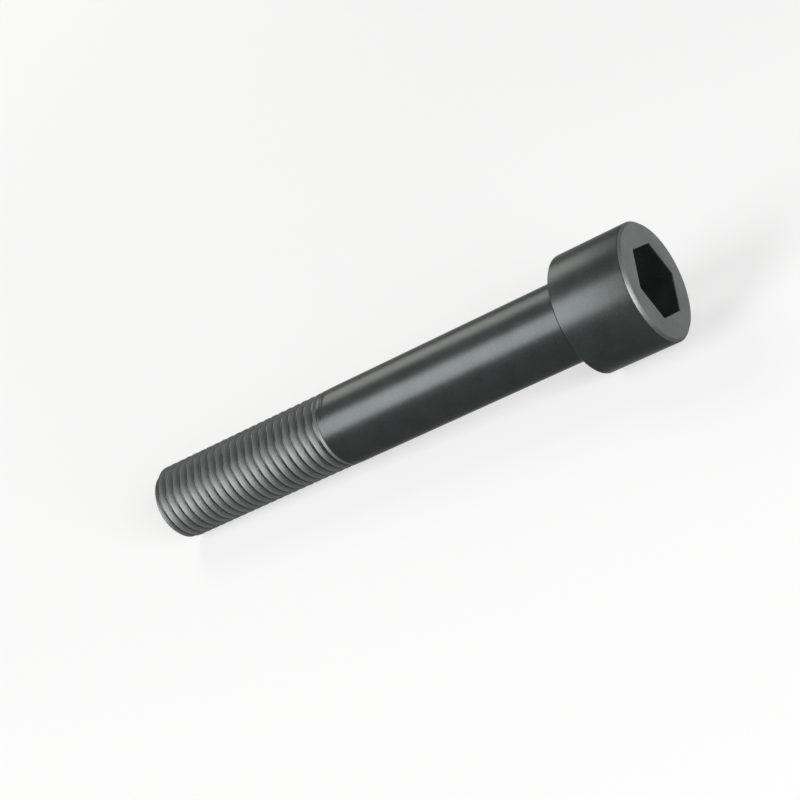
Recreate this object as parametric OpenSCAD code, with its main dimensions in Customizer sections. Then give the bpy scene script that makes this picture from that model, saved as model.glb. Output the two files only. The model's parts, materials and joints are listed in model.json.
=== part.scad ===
// Socket head cap screw, M20 x 130, lying on its side.
// It rests on the head's underside rim and on a thread crest by the tip, so its axis slopes down to the tip.
// Millimetres, +Z up. The origin is on the floor, below the middle of the screw's box; +X points to the head.

/* [Head] */
// Diameter of the round head
head_d = 30; // [28.5:0.5:40]
// Height of the head, from its bearing face to its top face
head_h = 20; // [18:0.5:30]
// Chamfer round the top edge of the head
head_chamfer = 0.8; // [0.2:0.1:2]
// Chamfer round the bearing face's outer rim
rim_chamfer = 0.3; // [0.1:0.1:1]
// Fillet between the bearing face and the shank
underhead_fillet = 1; // [0.4:0.1:2]

/* [Hex socket] */
// Distance across the flats of the socket
socket_flats = 17; // [10:0.5:19]
// Depth of the six flat walls
socket_depth = 10; // [6:0.5:12]
// How much smaller the pilot drill is than the flats
pilot_allowance = 0.5; // [0.2:0.1:2]
// Point angle of the pilot drill
pilot_point = 120; // [110:1:150]

/* [Shank] */
// Diameter of the plain shank
shank_d = 20; // [18:0.1:24]
// Length of the plain shank, from the bearing face to its end
plain_l = 72; // [40:1:100]

/* [Thread] */
// Length of the threaded end, from the plain shank to the tip
thread_l = 58; // [30:1:90]
// Pitch of the single-start, right-hand thread
pitch = 2.5; // [1.5:0.25:3]
// Angle between the flanks
flank_angle = 60; // [50:1:70]
// How far the thread's crest lies below the plain shank
crest_drop = 0.1; // [0.05:0.05:0.2]
// Length over which the groove grows shallow beside the plain shank
runout_l = 5.5; // [3:0.1:8]
// Height above the tip of a groove's middle, on the side that lies down
groove_start = 2.25; // [0.5:0.05:2.5]
// Chamfer at the tip, measured inwards from the crest
tip_chamfer = 1.4; // [1:0.1:3]
// Flat faces in one turn of the thread
turn_steps = 30; // [18:6:36]

/* [Hidden] */
$fn = 96;

total_l = thread_l + plain_l + head_h;
bearing_z = thread_l + plain_l;
head_r = head_d / 2;
shank_r = shank_d / 2;
crest_r = shank_r - crest_drop;

// Thread form, as in the metric standard: flanks on a sharp triangle whose tips are cut off.
half_angle = flank_angle / 2;
sharp_h = pitch / 2 / tan(half_angle);
pitch_r = shank_r - sharp_h * 3 / 8;
root_r = shank_r - sharp_h * 17 / 24;
full_depth = crest_r - root_r;
root_half = pitch / 4 - (pitch_r - root_r) * tan(half_angle);
// Height at which the groove's depth would reach nothing, and the share of its depth that it keeps at the least
fade_end = thread_l + full_depth * tan(half_angle);
least_depth = 0.03;

// The helix starts a turn below the tip and ends a turn inside the plain shank, for clean trimming.
sweep_start_z = groove_start - 3 * pitch;
sweep_turns = ceil((fade_end - sweep_start_z) / pitch) + 1;
sweep_steps = sweep_turns * turn_steps;

// Lying pose: the floor touches the head's rim and the first crest that the tip's chamfer leaves whole.
crest_half = pitch / 2 - root_half - full_depth * tan(half_angle);
lost_turns = floor((tip_chamfer - crest_half - groove_start - pitch / 2) / pitch) + 1;
first_crest_z = groove_start + pitch / 2 + pitch * lost_turns;
tip_contact_z = max(tip_chamfer, first_crest_z - crest_half);
rim_contact_z = bearing_z + rim_chamfer;
lie_tilt = atan((head_r - crest_r) / (rim_contact_z - tip_contact_z));
floor_drop = head_r * cos(lie_tilt) - rim_contact_z * sin(lie_tilt);
head_end_x = total_l * cos(lie_tilt) + (head_r - head_chamfer) * sin(lie_tilt);
tip_end_x = -(crest_r - tip_chamfer) * sin(lie_tilt);

// Share of the full thread depth at height z above the tip
function depth_share(z) = min(1, max(least_depth, (fade_end - z) / runout_l));

// The four corners of the groove after i steps: crest, root, root and crest again, from the tip side up.
// A shallow groove leans towards the tip, so that its flank on that side stays in line with the full thread's.
function groove_corners(i) =
    let (turn = 360 * i / turn_steps,
         helix_z = sweep_start_z + pitch * i / turn_steps,
         depth = full_depth * depth_share(helix_z),
         middle = helix_z - (full_depth - depth) * tan(half_angle),
         wide = root_half + depth * tan(half_angle))
    [for (c = [[crest_r, -wide], [crest_r - depth, -root_half], [crest_r - depth, root_half], [crest_r, wide]])
        [c[0] * cos(turn), c[0] * sin(turn), middle + c[1]]];

// Threaded bar along the helix: one strip for each flank, root and crest, and a fan at each end
module threaded_bar() {
    corners = [for (i = [0 : sweep_steps]) each groove_corners(i)];
    low_centre = 4 * (sweep_steps + 1);
    high_centre = low_centre + 1;
    points = [each corners, [0, 0, sweep_start_z], [0, 0, sweep_start_z + pitch * sweep_turns]];
    groove_strips = [for (i = [0 : sweep_steps - 1], j = [0 : 2])
        let (a = 4 * i + j, b = a + 4)
        each [[a, a + 1, b], [a + 1, b + 1, b]]];
    crest_strips = [for (i = [0 : sweep_steps - turn_steps - 1])
        let (a = 4 * i + 3, b = 4 * (i + turn_steps))
        each [[a, b, a + 4], [b, b + 4, a + 4]]];
    low_edge = [for (i = [0 : turn_steps]) 4 * i, 3, 2, 1, 0];
    last = 4 * sweep_steps;
    high_edge = [for (i = [sweep_steps - turn_steps : sweep_steps]) 4 * i + 3, last + 2, last + 1, last,
        4 * (sweep_steps - turn_steps) + 3];
    low_fan = [for (k = [0 : len(low_edge) - 2]) [low_centre, low_edge[k + 1], low_edge[k]]];
    high_fan = [for (k = [0 : len(high_edge) - 2]) [high_centre, high_edge[k], high_edge[k + 1]]];
    faces = [each groove_strips, each crest_strips, each low_fan, each high_fan];
    polyhedron(points, [for (f = faces) [f[2], f[1], f[0]]]);
}

// Outline of the bar that the thread is made on, with the chamfered tip
module tip_outline() {
    beyond = 1;
    polygon([
        [0, 0],
        [crest_r - tip_chamfer, 0],
        [crest_r + beyond, tip_chamfer + beyond],
        [crest_r + beyond, total_l],
        [0, total_l],
    ]);
}

module threaded_end() {
    intersection() {
        threaded_bar();
        rotate_extrude() tip_outline();
    }
}

// Half section of the plain shank and the head, with the fillet where they meet
module shank_and_head_section() {
    difference() {
        union() {
            polygon([
                [0, thread_l],
                [shank_r, thread_l],
                [shank_r, bearing_z],
                [head_r - rim_chamfer, bearing_z],
                [head_r, bearing_z + rim_chamfer],
                [head_r, total_l - head_chamfer],
                [head_r - head_chamfer, total_l],
                [0, total_l],
            ]);
            translate([shank_r, bearing_z - underhead_fillet])
                square(underhead_fillet);
        }
        translate([shank_r + underhead_fillet, bearing_z - underhead_fillet])
            circle(underhead_fillet);
    }
}

// Six flat walls with a corner straight up, and the drill's cone below them
module hex_socket() {
    corner_r = socket_flats / 2 / cos(30);
    pilot_r = (socket_flats - pilot_allowance) / 2;
    cone_h = pilot_r / tan(pilot_point / 2);
    above = 1;
    translate([0, 0, total_l - socket_depth]) {
        cylinder(h = socket_depth + above, r = corner_r, $fn = 6);
        translate([0, 0, -cone_h])
            cylinder(h = cone_h, r1 = 0, r2 = pilot_r);
    }
}

// The screw on its axis, with the tip at zero
module upright_screw() {
    difference() {
        rotate_extrude() shank_and_head_section();
        hex_socket();
    }
    threaded_end();
}

module cap_screw() {
    color([0.2, 0.2, 0.2])
        translate([-(head_end_x + tip_end_x) / 2, 0, floor_drop])
            rotate([0, 90 - lie_tilt, 0])
                upright_screw();
}

cap_screw();
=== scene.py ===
"""Looks of a black socket head cap screw that lies on its side on a pale floor."""
import json
import math

import bpy
from mathutils import Matrix, Vector


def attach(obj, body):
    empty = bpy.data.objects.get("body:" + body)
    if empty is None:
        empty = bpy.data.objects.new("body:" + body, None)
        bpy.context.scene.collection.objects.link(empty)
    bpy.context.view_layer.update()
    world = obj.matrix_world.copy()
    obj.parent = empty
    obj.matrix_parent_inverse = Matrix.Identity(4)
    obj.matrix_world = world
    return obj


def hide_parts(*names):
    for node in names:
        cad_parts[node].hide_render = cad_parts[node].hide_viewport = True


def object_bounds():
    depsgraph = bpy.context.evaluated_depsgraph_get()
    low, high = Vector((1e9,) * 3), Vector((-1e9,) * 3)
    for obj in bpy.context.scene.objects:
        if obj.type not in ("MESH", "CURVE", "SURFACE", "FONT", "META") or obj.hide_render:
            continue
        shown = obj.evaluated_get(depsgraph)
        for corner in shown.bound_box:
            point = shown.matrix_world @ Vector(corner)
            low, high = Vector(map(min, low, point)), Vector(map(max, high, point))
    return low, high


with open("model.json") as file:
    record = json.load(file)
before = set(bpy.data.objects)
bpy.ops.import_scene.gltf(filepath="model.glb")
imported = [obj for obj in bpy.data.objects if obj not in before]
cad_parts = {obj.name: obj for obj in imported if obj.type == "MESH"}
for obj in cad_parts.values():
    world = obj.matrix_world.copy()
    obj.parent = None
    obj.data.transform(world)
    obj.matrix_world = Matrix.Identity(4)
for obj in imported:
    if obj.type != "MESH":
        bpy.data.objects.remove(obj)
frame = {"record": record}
cad_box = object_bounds()

MM = 0.001

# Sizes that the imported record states, in metres
mounts = {mount["name"]: mount for mount in frame["record"]["mounts"]}
shank_r = mounts["shank"]["dims"]["r_mm"] * MM
shank_straight = mounts["shank"]["dims"]["length_mm"] * MM
head_r = mounts["head"]["dims"]["r_mm"] * MM
head_straight = mounts["head"]["dims"]["length_mm"] * MM

# The other sizes, as in the part's source
underhead_fillet = 1.0 * MM
rim_chamfer = 0.3 * MM
head_chamfer = 0.8 * MM
socket_flats = 17.0 * MM
socket_depth = 10.0 * MM
pilot_allowance = 0.5 * MM
pilot_half_angle = math.radians(60)
thread_l = 58.0 * MM
pitch = 2.5 * MM
crest_drop = 0.1 * MM
runout_l = 5.5 * MM
groove_start = 2.25 * MM
tip_chamfer = 1.4 * MM

bearing_z = thread_l + shank_straight + underhead_fillet
total_l = bearing_z + rim_chamfer + head_straight + head_chamfer
crest_r = shank_r - crest_drop
tip_r = crest_r - tip_chamfer
pilot_r = (socket_flats - pilot_allowance) / 2

# Metric thread form: straight flanks, and a round root as on a rolled thread
TAN30 = math.tan(math.radians(30))
sharp_h = pitch / 2 / TAN30
root_radius = sharp_h / 6
root_r = shank_r - sharp_h * 17 / 24
full_depth = crest_r - root_r
arc_half = root_radius * math.cos(math.radians(30))
arc_rise = root_radius / 2
fade_end = thread_l + full_depth * TAN30

# The helix's mesh starts on a ring just above the tip and ends on one in the plain shank
HELIX_START = 0.06 * MM
TIP_RING_Z = 0.05 * MM
RING_CLEARANCE = 0.01 * MM
thread_end = thread_l + 1.5 * MM

# Small roundings that catch the light
CREST_BEVEL = 0.05 * MM
EDGE_ROUND = 0.12 * MM
MOUTH_ROUND = 0.1 * MM
SHARP_ANGLE = math.radians(38)

# The screw's own directions: along it to the head, down beside it, and level
along = -Vector(mounts["shank"]["axis"]).normalized()
level = Vector((0, 1, 0))
down = level.cross(along)
tip = Vector(mounts["shank"]["pos_m"]) - along * (thread_l + shank_straight / 2)
middle = tip + along * (total_l / 2)

# Mesh steps round the axis, across a groove, across a crest and along the fillet
COLUMNS = 120
GROOVE_ROWS = 16
CREST_ROWS = 3
ROWS_A_TURN = GROOVE_ROWS + 1 + CREST_ROWS
FILLET_STEPS = 8

# Dark rows on each side of a groove's middle that keep the plain oxide, outside the painted sheen on the
# flanks, and the least share of the full depth whose flanks get that painted sheen
ROOT_ROWS = 2
FLANK_FROM = 0.15

# Material slots of the mesh; FLANK, FACED and BEVEL take lighter copies of the oxide, with painted sheen,
# painted reflection and painted highlight
SMOOTH, FLANK, FACED, BEVEL, CUT = range(5)


def on_screw(z, radius, turn):
    """Point at height z above the tip, at a radius and a turn from straight down, kept in the CAD box."""
    angle = 2 * math.pi * turn
    point = tip + along * z + (down * math.cos(angle) + level * math.sin(angle)) * radius
    return Vector([min(max(v, low), high) for v, low, high in zip(point, *cad_box)])


def depth_share(z):
    """Share of the full thread depth at height z above the tip."""
    return min(1.0, max(0.0, (fade_end - z) / runout_l))


def groove_half_width(depth):
    """Half the groove's width at the crest, for a groove of that depth."""
    return arc_half + max(0.0, depth - arc_rise) * TAN30


def groove_rise(x, depth):
    """Height of the groove's surface above its bottom, at x to the side of its middle."""
    if depth < arc_rise:
        return depth * (x / arc_half) ** 2
    if abs(x) <= arc_half:
        return root_radius - math.sqrt(root_radius ** 2 - x * x)
    return arc_rise + (abs(x) - arc_half) / TAN30


def groove_place(turns):
    """Middle, depth and half width of the groove, that many turns along the helix."""
    z = groove_start - 2 * pitch + pitch * turns
    share = depth_share(z)
    depth = full_depth * share
    return z - full_depth * TAN30 * (1 - share), depth, groove_half_width(depth)


def helix_rows(turns):
    """Rows (z, radius) across one groove and the crest up to the next turn's groove."""
    groove_z, depth, half = groove_place(turns)
    next_z, _, next_half = groove_place(turns + 1)
    crest = crest_r + crest_drop * (1 - depth / full_depth)
    rows = []
    for k in range(GROOVE_ROWS + 1):
        u = 2 * k / GROOVE_ROWS - 1
        x = half * (0.75 * u + 0.25 * u ** 3)  # rows lie closer at the round root
        rows.append((groove_z + x, crest - depth + groove_rise(x, depth)))
    bevel = min(CREST_BEVEL, depth * 0.3)  # stays a small part of a shallow groove
    rows[0] = (rows[0][0], crest - bevel)
    rows[GROOVE_ROWS] = (rows[GROOVE_ROWS][0], crest - bevel)
    low = groove_z + half + CREST_BEVEL
    high = next_z - next_half - CREST_BEVEL
    for k in range(CREST_ROWS):
        rows.append((low + (high - low) * k / (CREST_ROWS - 1), crest))
    return rows


def dulled(points):
    """The outline with each corner replaced by a small rounding."""
    out = [points[0]]
    for before, corner, after in zip(points, points[1:], points[2:]):
        corner = Vector(corner)
        back = Vector(before) - corner
        ahead = Vector(after) - corner
        cut = min(EDGE_ROUND, back.length * 0.3, ahead.length * 0.3)
        start = corner + back.normalized() * cut
        end = corner + ahead.normalized() * cut
        for f in (0, 0.33, 0.67, 1):
            out.append(tuple(start * (1 - f) ** 2 + corner * 2 * f * (1 - f) + end * f * f))
    out.append(points[-1])
    return out


def hexagon_reach(turn, flats):
    """Distance from the axis to a hexagon with a corner straight down."""
    from_flat = math.degrees(2 * math.pi * turn) % 60 - 30
    return flats / 2 / math.cos(math.radians(from_flat))


class Skin:
    """Collects the vertices and faces of one closed skin of revolution and thread."""

    def __init__(self):
        self.verts = []
        self.faces = []
        self.slots = []

    def ring(self, z, radius):
        first = len(self.verts)
        for i in range(COLUMNS):
            r = radius(i / COLUMNS) if callable(radius) else radius
            self.verts.append(on_screw(z, r, i / COLUMNS))
        return list(range(first, first + COLUMNS))

    def add(self, corners, slot):
        face = tuple(dict.fromkeys(corners))
        if len(face) > 2:
            self.faces.append(face)
            self.slots.append(slot)

    def band(self, low, high, slot):
        for i in range(COLUMNS):
            n = (i + 1) % COLUMNS
            self.add((low[i], low[n], high[n], high[i]), slot)

    def cap(self, edge, z, slot, upwards):
        self.verts.append(on_screw(z, 0, 0))
        centre = len(self.verts) - 1
        for i in range(COLUMNS):
            n = (i + 1) % COLUMNS
            self.add((edge[i], edge[n], centre) if upwards else (edge[n], edge[i], centre), slot)

    def rings(self, previous, outline, slot):
        for z, radius in outline:
            here = self.ring(z, radius)
            self.band(previous, here, slot)
            previous = here
        return previous


def add_tip(skin):
    """Flat end of the screw, and the ring where its chamfer starts."""
    centre_ring = skin.ring(0, tip_r * 0.5)
    skin.cap(centre_ring, 0, FACED, False)
    return skin.rings(centre_ring, [(0, tip_r - EDGE_ROUND), (TIP_RING_Z, tip_r)], FACED)


def add_thread(skin, tip_ring, end_ring):
    """Rows along the helix, cut by the tip's chamfer and closed on a ring at either end."""
    turns = math.ceil((thread_end - groove_start) / pitch) + 5
    helix_end = thread_end - RING_CLEARANCE
    index = {}
    for i in range(COLUMNS):
        heights = [row for m in range(turns) for row in helix_rows(m + i / COLUMNS)]
        for k, (z, r) in enumerate(heights):
            if z <= HELIX_START:
                index[i, k] = tip_ring[i]
            elif z >= helix_end:
                index[i, k] = end_ring[i]
            else:
                skin.verts.append(on_screw(z, min(r, tip_r + z), i / COLUMNS))
                index[i, k] = len(skin.verts) - 1
    for i in range(COLUMNS):
        n = (i + 1) % COLUMNS
        shift = 0 if n else ROWS_A_TURN
        for k in range(ROWS_A_TURN * (turns - 1) - 1):
            turn, row = divmod(k, ROWS_A_TURN)
            on_flank = row < GROOVE_ROWS and abs(row + 0.5 - GROOVE_ROWS / 2) > ROOT_ROWS
            deep = groove_place(turn + i / COLUMNS)[1] > FLANK_FROM * full_depth
            # deep flank faces take the lighter oxide copy, a painted sheen where the flanks catch the lamp
            # beyond the head
            slot = FLANK if on_flank and deep else SMOOTH
            skin.add((index[i, k], index[n, k + shift], index[n, k + 1 + shift], index[i, k + 1]), slot)


def add_shank_and_head(skin, start_ring):
    """Plain shank, fillet, bearing face, head and its two chamfers, up to the socket's surround."""
    shank_top = bearing_z - underhead_fillet
    surround_r = socket_flats * 0.66
    outline = [(thread_l + shank_straight * f, shank_r) for f in (0.04, 0.25, 0.5, 0.75, 0.98)]
    for k in range(FILLET_STEPS + 1):
        a = math.radians(90 * k / FILLET_STEPS)
        outline.append((shank_top + underhead_fillet * math.sin(a),
                        shank_r + underhead_fillet * (1 - math.cos(a))))
    corners = [(bearing_z, shank_r + underhead_fillet), (bearing_z, head_r - rim_chamfer),
               (bearing_z + rim_chamfer, head_r), (total_l - head_chamfer, head_r),
               (total_l, head_r - head_chamfer), (total_l, surround_r)]
    head = dulled(corners)[1:]
    side = skin.rings(start_ring, outline + head[:-5], SMOOTH)
    chamfer = skin.rings(side, head[-5:-4], BEVEL)
    return skin.rings(chamfer, head[-4:], FACED)


def add_socket(skin, start_ring):
    """Hexagonal mouth and walls, the floor's corners and the drill's cone."""
    def hexagon(grow):
        return lambda turn: hexagon_reach(turn, socket_flats + 2 * grow)
    mouth = [(0, MOUTH_ROUND), (MOUTH_ROUND * 0.3, MOUTH_ROUND * 0.3), (MOUTH_ROUND, 0)]
    walls = [(socket_depth * f, 0) for f in (0.05, 0.35, 0.65, 0.97, 1.0)]
    outline = [(total_l - fall, hexagon(grow)) for fall, grow in mouth + walls]
    edge = skin.rings(start_ring, outline[:1], FACED)
    wall_end = skin.rings(edge, outline[1:], CUT)
    floor_z = total_l - socket_depth
    cone_h = pilot_r / math.tan(pilot_half_angle)
    cone = [(floor_z - cone_h * f, pilot_r * (1 - f)) for f in (0, 0.3, 0.65, 0.9)]
    last = skin.rings(wall_end, cone, CUT)
    skin.cap(last, floor_z - cone_h, CUT, True)


def make_screw():
    skin = Skin()
    tip_ring = add_tip(skin)
    end_ring = skin.ring(thread_end, shank_r)
    add_thread(skin, tip_ring, end_ring)
    add_socket(skin, add_shank_and_head(skin, end_ring))
    mesh = bpy.data.meshes.new("screw")
    mesh.from_pydata([tuple(v) for v in skin.verts], [], skin.faces)
    mesh.validate()
    mesh.update()
    for polygon, slot in zip(mesh.polygons, skin.slots):
        polygon.use_smooth = True
        polygon.material_index = slot
    mesh.set_sharp_from_angle(angle=SHARP_ANGLE)
    screw = bpy.data.objects.new("screw", mesh)
    bpy.context.scene.collection.objects.link(screw)
    return screw


def oxide(name, tone, roughness, edge_tint, grain_bump, lines=0.0):
    """Black oxide on steel: cloudy tone, finely grained gloss, and fine lines round the axis if wanted."""
    tone_spread = 0.25
    gloss_spread = 0.04
    material = bpy.data.materials.new(name)
    material.use_nodes = True
    nodes = material.node_tree.nodes
    links = material.node_tree.links
    shader = nodes["Principled BSDF"]
    shader.inputs["Metallic"].default_value = 1.0
    shader.inputs["Anisotropic"].default_value = lines
    shader.inputs["Specular Tint"].default_value = (edge_tint, edge_tint, edge_tint, 1)

    place = nodes.new("ShaderNodeTexCoord")
    grain = nodes.new("ShaderNodeTexNoise")
    grain.inputs["Scale"].default_value = 3200
    grain.inputs["Detail"].default_value = 3
    links.new(place.outputs["Object"], grain.inputs["Vector"])
    cloud = nodes.new("ShaderNodeTexNoise")
    cloud.inputs["Scale"].default_value = 160
    cloud.inputs["Detail"].default_value = 4
    links.new(place.outputs["Object"], cloud.inputs["Vector"])

    both = nodes.new("ShaderNodeMix")
    both.data_type = "FLOAT"
    both.inputs["Factor"].default_value = 0.6
    links.new(cloud.outputs["Fac"], both.inputs["A"])
    links.new(grain.outputs["Fac"], both.inputs["B"])
    tones = nodes.new("ShaderNodeValToRGB")
    tones.color_ramp.elements[0].position = 0.3
    tones.color_ramp.elements[1].position = 0.7
    tones.color_ramp.elements[0].color = (*[c * (1 - tone_spread) for c in tone], 1)
    tones.color_ramp.elements[1].color = (*[c * (1 + tone_spread) for c in tone], 1)
    links.new(both.outputs["Result"], tones.inputs["Fac"])
    links.new(tones.outputs["Color"], shader.inputs["Base Color"])

    gloss = nodes.new("ShaderNodeMapRange")
    gloss.inputs["From Min"].default_value = 0.3
    gloss.inputs["From Max"].default_value = 0.7
    gloss.inputs["To Min"].default_value = roughness - gloss_spread
    gloss.inputs["To Max"].default_value = roughness + gloss_spread
    links.new(both.outputs["Result"], gloss.inputs["Value"])
    links.new(gloss.outputs["Result"], shader.inputs["Roughness"])

    if lines:
        across = nodes.new("ShaderNodeCombineXYZ")
        for socket, value in zip(across.inputs, along):
            socket.default_value = value
        links.new(across.outputs["Vector"], shader.inputs["Tangent"])

    bump = nodes.new("ShaderNodeBump")
    bump.inputs["Strength"].default_value = grain_bump
    bump.inputs["Distance"].default_value = 0.01 * MM
    links.new(grain.outputs["Fac"], bump.inputs["Height"])
    links.new(bump.outputs["Normal"], shader.inputs["Normal"])
    return material


screw = make_screw()
for material in (
    oxide("black_oxide_smooth", (0.0347, 0.0383, 0.0377), 0.33, 0.55, 0.15),
    # Flanks: a much lighter tone than the smooth oxide, a painted sheen standing in for the lamp's
    # reflection on the thread
    oxide("black_oxide_flank_painted_sheen", (0.147, 0.153, 0.15), 0.58, 0.7, 0.3, lines=0.5),
    # Tip end and head's top face: a lighter copy of the oxide, a painted reflection that brightens the top
    # face
    oxide("black_oxide_faced_painted_reflection", (0.15, 0.158, 0.154), 0.42, 0.8, 0.15),
    # Head's chamfer: a lighter copy of the oxide, partly a painted highlight where the chamfer catches the
    # lamp
    oxide("black_oxide_bevel_painted_highlight", (0.098, 0.102, 0.1), 0.42, 0.7, 0.15),
    oxide("black_oxide_cut", (0.066, 0.072, 0.07), 0.4, 0.6, 0.15),
):
    screw.data.materials.append(material)
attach(screw, "root")
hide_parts("cap_screw")

# Camera: it looks at the screw's middle from the head's end, with the screw turned in the picture
VIEW_OFF_AXIS = math.radians(59.13)
VIEW_OFF_TOP = math.radians(60)
VIEW_TURN = math.radians(25)
VIEW_DISTANCE = 0.5345
VIEW_LENS = 98.2
LAMP_DISTANCE = 1.2

# The floor: its own grey, and how much white the eye sees in it near the screw and far away
FLOOR_TONE = 0.62
NEAR, NEAR_WHITE = 0.15, 0.6
FAR, FAR_WHITE = 1.2, 1.0
WORLD_LIGHT = 0.1

above = -down
towards = above * math.cos(VIEW_OFF_TOP) - level * math.sin(VIEW_OFF_TOP)
beneath = along.cross(towards)


def around(degrees):
    """Direction out from the axis, turned from the camera's side towards the floor."""
    angle = math.radians(degrees)
    return towards * math.cos(angle) + beneath * math.sin(angle)


def aimed(place, right, back):
    """Place and turn of something that looks along -back."""
    return Matrix.Translation(place) @ Matrix((right, back.cross(right), back)).transposed().to_4x4()


def make_camera():
    back = along * math.cos(VIEW_OFF_AXIS) + towards * math.sin(VIEW_OFF_AXIS)
    axis_seen = (along - back * along.dot(back)).normalized()
    right = axis_seen * math.cos(VIEW_TURN) + beneath * math.sin(VIEW_TURN)
    camera = bpy.data.objects.new("camera", bpy.data.cameras.new("camera"))
    camera.data.lens = VIEW_LENS
    camera.data.sensor_width = 36
    camera.data.clip_start = 0.01
    camera.data.clip_end = 50
    camera.matrix_world = aimed(middle + back * VIEW_DISTANCE, right, back)
    bpy.context.scene.collection.objects.link(camera)
    bpy.context.scene.camera = camera


def soft_lamp(name, off_axis, turn, size, radiance, colour=(1, 1, 1)):
    """Flat lamp that faces the screw, at an angle from its axis and a turn round it."""
    angle = math.radians(off_axis)
    back = along * math.cos(angle) + around(turn) * math.sin(angle)
    right = (along - back * along.dot(back)).normalized()
    data = bpy.data.lights.new(name, "AREA")
    data.shape = "RECTANGLE"
    data.size, data.size_y = size
    data.energy = radiance * math.pi * size[0] * size[1]
    data.color = colour
    lamp = bpy.data.objects.new(name, data)
    lamp.matrix_world = aimed(middle + back * LAMP_DISTANCE, right, back)
    bpy.context.scene.collection.objects.link(lamp)


def straight_to_the_eye(material):
    """Socket that is 1 for what the camera sees itself or in a reflection, and 0 for light on things."""
    nodes = material.node_tree.nodes
    links = material.node_tree.links
    path = nodes.new("ShaderNodeLightPath")
    seen = path.outputs["Is Camera Ray"]
    for ray in ("Is Glossy Ray", "Is Transmission Ray"):
        either = nodes.new("ShaderNodeMath")
        either.operation = "MAXIMUM"
        links.new(seen, either.inputs[0])
        links.new(path.outputs[ray], either.inputs[1])
        seen = either.outputs[0]
    return seen


def make_floor():
    """Pale paper that keeps the screw's shadow, and that the eye sees whiter, more so far away."""
    bpy.ops.mesh.primitive_plane_add(size=12, location=(0, 0, cad_box[0].z))
    floor = bpy.context.object
    floor.name = "floor"
    paper = bpy.data.materials.new("paper")
    paper.use_nodes = True
    shader = paper.node_tree.nodes["Principled BSDF"]
    shader.inputs["Base Color"].default_value = (FLOOR_TONE, FLOOR_TONE, FLOOR_TONE, 1)
    shader.inputs["Roughness"].default_value = 1.0
    shader.inputs["Specular IOR Level"].default_value = 0.0

    nodes = paper.node_tree.nodes
    links = paper.node_tree.links
    glow = nodes.new("ShaderNodeEmission")
    place = nodes.new("ShaderNodeTexCoord")
    distance = nodes.new("ShaderNodeVectorMath")
    distance.operation = "LENGTH"
    links.new(place.outputs["Object"], distance.inputs[0])
    whiter = nodes.new("ShaderNodeMapRange")
    whiter.inputs["From Min"].default_value = NEAR
    whiter.inputs["From Max"].default_value = FAR
    whiter.inputs["To Min"].default_value = NEAR_WHITE
    whiter.inputs["To Max"].default_value = FAR_WHITE
    links.new(distance.outputs["Value"], whiter.inputs["Value"])
    share = nodes.new("ShaderNodeMath")
    share.operation = "MULTIPLY"
    links.new(straight_to_the_eye(paper), share.inputs[0])
    links.new(whiter.outputs["Result"], share.inputs[1])
    mix = nodes.new("ShaderNodeMixShader")
    links.new(share.outputs[0], mix.inputs["Fac"])
    links.new(shader.outputs[0], mix.inputs[1])
    links.new(glow.outputs[0], mix.inputs[2])
    links.new(mix.outputs[0], nodes["Material Output"].inputs["Surface"])
    floor.data.materials.append(paper)


def make_world():
    """White to the eye and in reflections, and a weaker light on everything else."""
    world = bpy.data.worlds.new("studio")
    world.use_nodes = True
    nodes = world.node_tree.nodes
    links = world.node_tree.links
    background = nodes["Background"]
    background.inputs["Color"].default_value = (1, 1, 1, 1)
    strength = nodes.new("ShaderNodeMapRange")
    strength.inputs["To Min"].default_value = WORLD_LIGHT
    strength.inputs["To Max"].default_value = 1.0
    links.new(straight_to_the_eye(world), strength.inputs["Value"])
    links.new(strength.outputs["Result"], background.inputs["Strength"])
    bpy.context.scene.world = world


make_camera()
soft_lamp("front_top", 120, -18, (0.5, 0.88), 10.6)
soft_lamp("back", 120, -104, (0.42, 0.6), 7.6, (1, 0.96, 0.92))
soft_lamp("low_beyond_head", 42, 12, (0.55, 0.85), 21.5)
make_floor()
make_world()
bpy.context.scene.view_settings.view_transform = "Standard"
